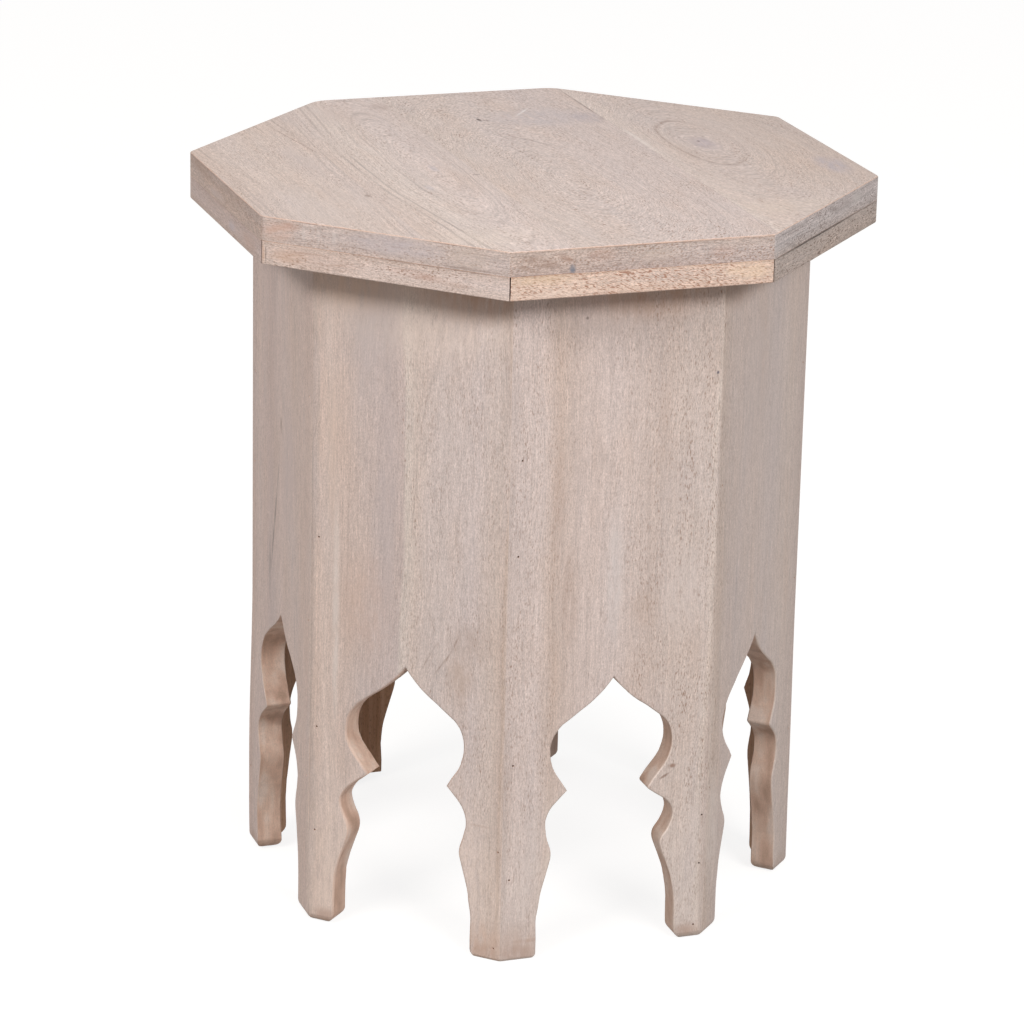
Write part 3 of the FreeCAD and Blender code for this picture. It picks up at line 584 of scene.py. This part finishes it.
def bare_mango(name, along, seed):
    """Unwashed mango, straight off the saw: warm brown, with fuzzy saw marks across and open pores."""
    material = bpy.data.materials.new(name)
    tree = bare_tree(material)
    where = add(tree, "TexCoord")
    side = Vector((0, 0, 1)) if abs(along.z) < 0.5 else Vector((1, 0, 0))
    across = side.cross(along).normalized()
    turn = Matrix((across, along.cross(across), along)).transposed().to_euler()
    board = add(tree, "Mapping", {"Vector": where.outputs["Object"], "Rotation": turn,
                                  "Scale": (MM, MM, MM)}, vector_type="TEXTURE")
    streak = mottle(tree, board, (3.5, 3.5, 60), (0, 0, seed * 20.0), 3.0)
    dash = mottle(tree, board, (0.7, 0.7, 5), (0, 0, seed * 9.0), 1.0)
    dash = add(tree, "MapRange", {"Value": dash, "From Min": 0.58, "From Max": 0.72, "To Max": 0.7})
    saw = mottle(tree, board, (40, 40, 1.6))
    tone = add(tree, "ValToRGB", {0: streak},
               stops=[(0.3, colour("8f6c52")), (0.5, colour("a88468")), (0.7, colour("bb9a80"))])
    marks = add(tree, "MapRange", {"Value": saw, "From Min": 0.3, "From Max": 0.7,
                                   "To Min": 0.88, "To Max": 1.06})
    tone = add(tree, "Mix", {0: 1.0, 6: tone, 7: marks}, data_type="RGBA", blend_type="MULTIPLY")
    tone = add(tree, "Mix", {0: dash, 6: tone.outputs[2], 7: colour("5f4433")}, data_type="RGBA")
    height = add(tree, "Math", {0: dash, 1: -0.6, 2: saw}, operation="MULTIPLY_ADD")
    bump = add(tree, "Bump", {"Height": height, "Strength": 0.7, "Distance": 0.25 * MM})
    rough = add(tree, "MapRange", {"Value": streak, "To Min": 0.7, "To Max": 0.85})
    wood = add(tree, "BsdfPrincipled", {"Base Color": tone.outputs[2], "Roughness": rough,
                                        "IOR": 1.45, "Normal": bump})
    add(tree, "OutputMaterial", {"Surface": wood})
    return material


block_wood = bare_mango("bare mango, corner blocks", UP.copy(), 1)
for number in range(1, 9):
    bm = joined_copy(f"corner_block_{number}")
    ease(bm, [e for e in bm.edges if len(e.link_faces) == 2 and e.calc_face_angle() > 0.5], 0.5 * MM)
    piece(f"glue_block_{number}", bm, "inner_wood", [block_wood], f"corner_block_{number}")


# Cleats. Eight square battens of unwashed mango, one along the top of each panel's inside. Each is screwed
# into its panel and up into the top.

for number in range(1, 9):
    bm = joined_copy(f"cleat_{number}")
    ease(bm, [e for e in bm.edges if len(e.link_faces) == 2 and e.calc_face_angle() > 0.5
              and e.calc_length() > 9 * MM], 0.6 * MM)
    piece(f"top_cleat_{number}", bm, "inner_wood",
          [bare_mango(f"bare mango, cleat {number}", UP.cross(outward(number)), number)], f"cleat_{number}")


# Pins and screws. Steel pins are driven across the mitres and set below the face of the panels, and zinc
# plated countersunk wood screws hold the cleats.

def plated_steel(name, tone, roughness):
    """Drawn steel wire, bright with zinc or dull with oxide, a little uneven in colour and scuffed."""
    material = bpy.data.materials.new(name)
    tree = bare_tree(material)
    where = add(tree, "TexCoord")
    grain = mottle(tree, where.outputs["Object"], (1.5 * MM,) * 3, detail=3.0)
    shade = add(tree, "ValToRGB", {0: grain}, stops=[(0.3, colour(tone[0])), (0.7, colour(tone[1]))])
    rough = add(tree, "MapRange", {"Value": grain, "To Min": roughness - 0.1, "To Max": roughness + 0.1})
    bump = add(tree, "Bump", {"Height": grain, "Strength": 0.3, "Distance": 0.05 * MM})
    steel = add(tree, "BsdfPrincipled", {"Base Color": shade, "Metallic": 1.0,
                                         "Roughness": rough, "Normal": bump})
    add(tree, "OutputMaterial", {"Surface": steel})
    return material


dull_steel = plated_steel("oxidised steel pins", ("4a4440", "6a625c"), 0.55)
zinc = plated_steel("zinc plated screws", ("a9a9a2", "c9c8c0"), 0.35)
for node, finish in (("corner_pins", dull_steel), ("cleat_to_panel_screws", zinc),
                     ("cleat_to_top_screws", zinc)):
    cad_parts[node].data.materials.clear()
    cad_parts[node].data.materials.append(finish)


# Edge strips. Eight mitred strips glued under the rim of the top, which make it look twice as thick.
# Each was cut from a different board, and two of the mitres stand a little open.

TOP_WIDTH = 428 * MM
TOP_HEIGHT = 500 * MM
TOP_THICK = 16.5 * MM
STRIP_THICK = 15.5 * MM
STRIP_TOP = TOP_HEIGHT - TOP_THICK
RIM_LENGTH = TOP_WIDTH * math.tan(math.radians(22.5))
top_corner_reach = TOP_WIDTH / 2 / math.cos(math.radians(22.5))

TOP_CORNER_ROUND = {4: 22, 5: 22, 6: 7, 2: 6, 0: 5, 1: 5, 3: 6, 7: 9}   # radius at each corner, in mm

# Places are down from the glue line under the boards, and along from the strip's left end.
STRIP_BOARDS = {
    1: dict(bands=[(0, "bfa28f"), (2, "d3b9a9"), (9, "d8bfaf"), (15.5, "d3b7a6")], pores=1.7,
            pore_size=(0.62, 3.0), pore_tone="a47c68", slant=0.3, speckle=1.4,
            rings=(-30, 30, 60, 0.3, 2.5, 0.08),
            marks=[(6, 160, 8, 22, "dfc3a6", 0.5), (3, 20, 5, 34, "d0b597", 0.5),
                   (13, 30, 4, 40, "e2cdbf", 0.5)]),
    8: dict(bands=[(0, "c0aa9e"), (2, "cab5aa"), (8, "d2bfb6"), (15.5, "ccb8ad")], pores=0.7,
            pore_size=(0.7, 2.0), speckle=1.4, rings=(-20, 20, 110, 0.3, 2.0, 0.08),
            marks=[(0.2, 120, 0.5, 72, "6f5c53", 0.8), (7, 112, 4, 26, "a98371", 0.55, 0.05),
                   (8, 20, 7, 18, "c4a088", 0.5), (4, 34, 1.0, 22, "9c7c6b", 0.5, -0.03),
                   (9, 52, 1.0, 22, "a3826f", 0.5, -0.05), (8, 1.6, 9, 2.0, "caa994", 0.8),
                   (8, 40, 9, 50, "bb9c8b", 0.35),
                   (8, 3.7, 9, 0.4, "60483c", 0.9), (10, 140, 3, 20, "b39788", 0.4)]),
    2: dict(bands=[(0, "a3958d"), (2, "b2a39b"), (10, "b7a79e"), (15.5, "ad9c92")], pores=1.0,
            pore_size=(0.8, 2.6), pore_tone="7d6c62", speckle=1.8, rings=(-40, 20, 60, 0.3, 2.2, 0.08),
            marks=[(0.2, 90, 1.1, 130, "3b322e", 1.0), (0.0, 60, 1.4, 60, "3b322e", 1.0)]),
    7: dict(bands=[(0, "bba59c"), (3, "c0aaa2"), (9, "c6b2ab"), (15.5, "bda69a")], pores=0.5, speckle=1.0,
            rings=(-30, 20, 60, 0.2, 2.4, 0.07),
            marks=[(0.2, 110, 0.5, 70, "8a756b", 0.5), (8, 108, 5, 12, "bdb0b2", 0.6),
                   (8, 150, 7, 24, "bd9c8b", 0.5)]),
}
for number in range(1, 9):
    way = outward(number)
    grain = UP.cross(way)
    origin = way * (TOP_WIDTH / 2) - grain * (RIM_LENGTH / 2) + UP * STRIP_TOP
    board = STRIP_BOARDS.get(number) or dict(
        bands=[(0, "a38f84"), (3, ("c7b1a5", "ccb6a6", "c3aea3")[number % 3]), (15.5, "c2ab9c")],
        pores=0.8, pore_size=(0.7, 2.6), speckle=1.3, rings=(-30, 10 + 8 * number, 70, 0.25, 2.2, 0.08),
        marks=[(0.3, 88, 0.6, 90, "7a675d", 0.7)])
    bm = joined_copy(f"edge_strip_{number}")
    for side, corner in ((-0.5, number - 1), (0.5, number % 8)):
        radius = TOP_CORNER_ROUND[corner]
        round_corner(bm, math.radians(-90 + 45 * (number - 1 + side)), top_corner_reach, radius * MM,
                     flats=3 if radius < 10 else 7)
    bm.normal_update()
    for level, width in ((-1, 0.9), (1, 0.3)):
        rim = [e for e in bm.edges if len(e.link_faces) == 2
               and any(f.normal.z * level > 0.9 for f in e.link_faces)
               and any(abs(f.normal.z) < 0.1 and f.normal.dot(way) > 0.5 for f in e.link_faces)]
        ease(bm, rim, width * MM)
    piece(f"rim_strip_{number}", bm, "strip_wood",
          [washed_mango(f"washed mango, edge strip {number}", origin, -way, grain, STRIP_THICK / MM,
                        seed=20 + number, wander=1.5, arris_wear_and_highlight=0.25, sawn=0, inside=False, **board)],
          f"edge_strip_{number}")


# Top. Four boards glued edge to edge and planed as one, then sawn to an octagon. The upper arris and the
# corners are rubbed round by hand. Each sawn edge has its own grain, side by side with the next board's.

UPPER_ARRIS, LOWER_ARRIS = 1.0 * MM, 0.3 * MM
# Each board's left and right edges from the top's middle, and its wood, with places from that middle
# and along the grain.
TOP_BOARDS = {
    1: (-214, -130, dict(
            bands=[(-214, "c5b1a6"), (-190, "ccbab0"), (-160, "cab8ae"), (-130, "cbb9b0")],
            wander=9, rings=(-420, 60, 0, 0.10, 3.2, 0.07), pores=0.55, speckle=1.2,
            marks=[(-150, 40, 16, 60, "c0b0aa", 0.5), (-165, -70, 50, 80, "c9bab3", 0.4),
                   (-136, 95, 1.0, 70, "8f776c", 0.6, -0.13),
                   (-133, -57, 3, 5, "7d665a", 0.6)])),
    2: (-130, -44, dict(
            bands=[(-130, "cab7ad"), (-100, "cfbfb6"), (-70, "cebdb6"), (-44, "cbbab2")],
            wander=9, rings=(-72, 6, 8, 0.135, 2.9, 0.12), pores=0.5, speckle=0.95,
            marks=[(-90, -175, 60, 30, "d7c5b6", 0.3), (-85, 172, 55, 45, "c6b4ac", 0.5),
                   (-46, -20, 5, 1.2, "84716a", 0.7, 0.1), (-50, 184, 9, 14, "a58f85", 0.6),
                   (-69, 3, 4, 12, "b7aeb3", 0.6), (-88, -47, 4, 10, "b9b0b4", 0.5)])),
    3: (-44, 92, dict(
            bands=[(-44, "cab9b0"), (0, "cbbab2"), (50, "cbbab3"), (92, "c9b8b1")],
            wander=11, rings=(8, 7, -50, 0.30, 1.8, 0.05), pores=0.6, speckle=1.15,
            marks=[(91.5, 158, 1.6, 66, "87746c", 0.8), (48, 126, 52, 38, "b6acae", 0.5),
                   (82, 118, 16, 22, "a79ca1", 0.6), (5, 129, 2.0, 6, "4c3c35", 1.0),
                   (9, 126, 3.5, 2.2, "5e4b42", 0.9),
                   (18, 66, 1.2, 42, "98807a", 0.6, -0.5), (41, 143, 1.6, 24, "dcd3cf", 0.8, 0.65),
                   (90, 112, 2, 7, "84726c", 0.7), (20, -152, 3, 2, "8b7468", 0.6)])),
    4: (92, 214, dict(
            bands=[(92, "d0c0b7"), (96, "cdbcb3"), (130, "c5b4ac"), (170, "c4b2a8"), (214, "bdaca3")],
            wander=9, rings=(134, 10, 30, 0.32, 2.4, 0.04), pores=0.55, speckle=1.05,
            knots=[dict(at=(133, 30), size=(24, 64), push=13,
                        lines=[(0.22, 0.15), (0.5, 0.15), (0.75, 0.12), (1.0, 0.5)])],
            marks=[(94, 45, 2.5, 50, "dccfc8", 0.7), (130, -150, 60, 26, "d5c4b4", 0.3),
                   (152, 62, 50, 80, "c4b4ad", 0.35), (134, 26, 12, 26, "aea0a6", 0.6),
                   (132, 33, 1.8, 2.6, "4f3c36", 1.0),
                   (196, -52, 14, 34, "aba1a6", 0.7)])),
}
# The sawn edges by side, places down from the top and along from the left corner as one faces the side.
EDGE_FACES = {
    1: dict(bands=[(0, "b39a8c"), (1.2, "b7a59b"), (8, "baa8a0"), (16.5, "b09c94")], pores=0.9, speckle=1.8,
            rings=(30, 20, 140, 0.6, 1.6, 0.10),
            marks=[(8, 20, 5, 18, "967d6f", 0.65, 0.25), (6, 36, 3, 8, "9a7a69", 0.75, 0.4),
                   (12, 12, 2, 12, "917766", 0.65, 0.3), (5, 22, 1.2, 14, "bda69a", 0.7, 0.4),
                   (13.5, 41, 4.2, 3.0, "74767f", 1.0),
                   (8, 43, 9, 0.35, "8b766b", 0.6), (6, 60, 6, 14, "b08a78", 0.4),
                   (8, 98, 7, 20, "c2b0a5", 0.5), (9, 142, 6, 12, "b58c79", 0.35),
                   (0.4, 90, 0.9, 90, "96745f", 0.8)]),
    8: dict(bands=[(0, "b39d91"), (1.2, "c0aea5"), (8, "c2b1aa"), (16.5, "bfaca3")], pores=0.6,
            rings=(-40, 30, 80, 0.1, 1.8, 0.07),
            marks=[(8, 12, 9, 16, "c69f8b", 0.6), (4, 22, 4, 10, "b88f7c", 0.5),
                   (8, 31, 8, 1.8, "cfc1bb", 0.6), (8, 42, 8, 1.4, "cec0ba", 0.5),
                   (8, 53, 8, 2.4, "cdc0bb", 0.6), (7, 95, 9, 44, "b9aeb0", 0.65),
                   (8, 148, 9, 22, "bdaa9c", 0.5), (12, 62, 0.8, 26, "95827a", 0.5),
                   (4.5, 158, 0.7, 16, "947f74", 0.5), (8, 166, 0.6, 12, "8f7a70", 0.5),
                   (14.8, 150, 1.0, 30, "87746a", 0.6), (0.4, 40, 0.9, 60, "93705f", 0.8),
                   (0.4, 140, 0.8, 40, "93705f", 0.6)]),
    7: dict(bands=[(0, "a98f82"), (2, "b39b8e"), (9, "bda598"), (16.5, "c0aa9f")], pores=0.6,
            rings=(30, 30, 30, 0.4, 1.8, 0.08),
            marks=[(4, 30, 6, 42, "a08677", 0.5), (6, 130, 1.4, 20, "99806f", 0.5, 0.25),
                   (9, 146, 1.2, 16, "977c6c", 0.5, 0.25), (3, 98, 4, 22, "a89184", 0.5),
                   (12, 70, 5, 30, "c2b0ab", 0.5)]),
    2: dict(bands=[(0, "b8aba6"), (2, "beb2af"), (9, "c3b8b5"), (16.5, "b3a6a1")], pores=0.8,
            speckle=1.8, pore_tone="7d6e67", rings=(-30, 20, 60, 0.12, 1.6, 0.13),
            marks=[(11, 60, 0.9, 50, "7d706b", 0.6, 0.03), (5, 34, 3, 24, "988a85", 0.5),
                   (8, 4, 9, 5, "bcb2ae", 0.6), (7, 120, 5, 40, "a0938f", 0.5),
                   (16.5, 70, 0.9, 80, "453b37", 1.0), (6, 138, 6, 12, "c7beb9", 0.6),
                   (5, 96, 3, 16, "8d817c", 0.5, 0.3), (13, 26, 2, 20, "8d817c", 0.5, 0.3)]),
}


def sawn_edge(number):
    """The wood of one sawn side of the top."""
    way = outward(number)
    grain = UP.cross(way)
    origin = way * (TOP_WIDTH / 2) - grain * (RIM_LENGTH / 2) + UP * TOP_HEIGHT
    board = EDGE_FACES.get(number) or dict(
        bands=[(0, "b09a8e"), (1.5, "bba89d"), (9, ("c0aea4", "bca99c", "bdaca6")[number % 3]),
               (16.5, "b5a196")],
        pores=0.6, rings=(30, 10 + 6 * number, 60, 0.4, 1.8, 0.08),
        marks=[(0.4, 88, 0.5, 90, "93705f", 0.5)])
    return washed_mango(f"washed mango, sawn edge {number}", origin, -way, grain, TOP_THICK / MM,
                        seed=60 + number, wander=1.5, pore_size=(0.8, 1.8), sawn=0, inside=False,
                        arris_wear_and_highlight=0.0, **{"speckle": 1.4, **board})


def sawn_sides(bm):
    """The sawn faces of a top board, each with the side of the octagon that it lies on."""
    sides = {}
    for face in bm.faces:
        side = max(range(1, 9), key=lambda n: outward(n).dot(face.normal))
        depth = outward(side).dot(face.calc_center_median())
        if abs(face.normal.z) < 0.5 and depth > 0.97 * TOP_WIDTH / 2:
            sides[face] = side
    return sides


edge_woods = {number: sawn_edge(number) for number in range(1, 9)}
for number, (left, right, board) in TOP_BOARDS.items():
    node = f"top_board_{number}"
    bm = joined_copy(node)
    for corner in range(8):
        radius = TOP_CORNER_ROUND[corner]
        round_corner(bm, math.radians(-112.5 + 45 * corner), top_corner_reach, radius * MM,
                     flats=3 if radius < 10 else 7)
    bm.normal_update()
    for level, width, segments in ((1, UPPER_ARRIS, 3), (-1, LOWER_ARRIS, 1)):
        sides = sawn_sides(bm)
        rim = [e for e in bm.edges if len(e.link_faces) == 2 and any(f in sides for f in e.link_faces)
               and any(f.normal.z * level > 0.9 for f in e.link_faces)]
        ease(bm, rim, width, segments)
        bm.normal_update()
    sides = sawn_sides(bm)
    used = sorted(set(sides.values()))
    for face, side in sides.items():
        face.material_index = 1 + used.index(side)
    from_left = dict(bands=[(place - left, tone) for place, tone in board["bands"]],
                     rings=(board["rings"][0] - left, *board["rings"][1:]),
                     marks=[(mark[0] - left, *mark[1:]) for mark in board["marks"]],
                     knots=[{**knot, "at": (knot["at"][0] - left, knot["at"][1])}
                            for knot in board.get("knots", ())])
    planed = washed_mango(f"washed mango, top board {number}", Vector((left * MM, 0, TOP_HEIGHT)),
                          -UP, Vector((0, 1, 0)), float(right - left), seed=40 + number, sawn=0,
                          arris_wear_and_highlight=0.8, arris_wear_and_highlight_tone="cdaa95", figured=True, **{**board, **from_left})
    piece(f"planed_{node}", bm, "top_wood", [planed] + [edge_woods[side] for side in used], node)


# The photographer's table. A pale sweep of paper shows as white, two low softboxes in front throw the rim's
# short shadow, and a weak one hangs overhead.

FLOOR_REACH = 40.0
PAPER_GLOW = 0.84              # lifts the paper to white where the camera sees it
AROUND = 0.42                  # the room's own light on the object
LAMP_DISTANCE = 3.0
LAMP_AIM = Vector((0, 0, 0.3))


def looked_at(tree):
    """1 for a ray from the camera, or one that meets the background in a gloss or through a glass."""
    ray = add(tree, "LightPath").outputs
    seen = add(tree, "Math", {0: ray["Is Camera Ray"], 1: ray["Is Glossy Ray"]}, operation="MAXIMUM")
    return add(tree, "Math", {0: seen, 1: ray["Is Transmission Ray"]}, operation="MAXIMUM")


bm = bmesh.new()
bmesh.ops.create_grid(bm, x_segments=1, y_segments=1, size=FLOOR_REACH)
sweep_mesh = bpy.data.meshes.new("sweep")
bm.to_mesh(sweep_mesh)
bm.free()
sweep = bpy.data.objects.new("sweep", sweep_mesh)
bpy.context.scene.collection.objects.link(sweep)
paper = bpy.data.materials.new("white paper")
tree = bare_tree(paper)
plain = add(tree, "BsdfDiffuse", {"Color": colour("928f8c")})
glow = add(tree, "Emission", {"Color": colour("ffffff"), "Strength": PAPER_GLOW})
lifted = add(tree, "AddShader", {0: plain, 1: glow})
shown = add(tree, "MixShader", {0: looked_at(tree), 1: plain, 2: lifted})
add(tree, "OutputMaterial", {"Surface": shown})
sweep_mesh.materials.append(paper)

world = bpy.data.worlds.new("white room")
bpy.context.scene.world = world
tree = bare_tree(world)
level = add(tree, "MapRange", {"Value": looked_at(tree), "To Min": AROUND, "To Max": 1.0})
room = add(tree, "Background", {"Color": colour("ffffff"), "Strength": level})
add(tree, "OutputWorld", {"Surface": room})

# Each softbox: azimuth, elevation and power.
for azimuth, elevation, power in ((-150, 34, 40), (-77, 29, 47), (-110, 80, 11)):
    flat = math.cos(math.radians(elevation))
    lamp_way = Vector((math.cos(math.radians(azimuth)) * flat, math.sin(math.radians(azimuth)) * flat,
                       math.sin(math.radians(elevation))))
    lamp_light = bpy.data.lights.new("softbox", "AREA")
    lamp_light.shape = "RECTANGLE"
    lamp_light.size = 1.2
    lamp_light.size_y = 0.5
    lamp_light.energy = power
    lamp = bpy.data.objects.new("softbox", lamp_light)
    lamp.location = LAMP_AIM + lamp_way * LAMP_DISTANCE
    lamp.rotation_euler = (-lamp_way).to_track_quat("-Z", "Y").to_euler()
    bpy.context.scene.collection.objects.link(lamp)

# The camera stands where the photographer's did: a long lens, a little above the top, tilted a degree.
CAMERA_PLACE = Vector((-0.92785, -2.6270, 1.1840))
CAMERA_AZIMUTH, CAMERA_HEIGHT_ANGLE, CAMERA_ROLL = (math.radians(a) for a in (-19.272, 18.473, -1.256))
FOCAL_PIXELS, IMAGE_PIXELS, SENSOR = 4263.3, 1024, 36.0
away = Vector((math.sin(CAMERA_AZIMUTH) * math.cos(CAMERA_HEIGHT_ANGLE),
               -math.cos(CAMERA_AZIMUTH) * math.cos(CAMERA_HEIGHT_ANGLE), math.sin(CAMERA_HEIGHT_ANGLE)))
right = (-away).cross(UP).normalized()
down = (-away).cross(right)
image_right = right * math.cos(CAMERA_ROLL) + down * math.sin(CAMERA_ROLL)
image_down = down * math.cos(CAMERA_ROLL) - right * math.sin(CAMERA_ROLL)
camera_data = bpy.data.cameras.new("camera")
camera_data.sensor_width = SENSOR
camera_data.lens = FOCAL_PIXELS * SENSOR / IMAGE_PIXELS
camera = bpy.data.objects.new("camera", camera_data)
camera.matrix_world = Matrix.Translation(CAMERA_PLACE) @ \
    Matrix((image_right, -image_down, away)).transposed().to_4x4()
bpy.context.scene.collection.objects.link(camera)
bpy.context.scene.camera = camera
bpy.context.scene.view_settings.view_transform = "Standard"
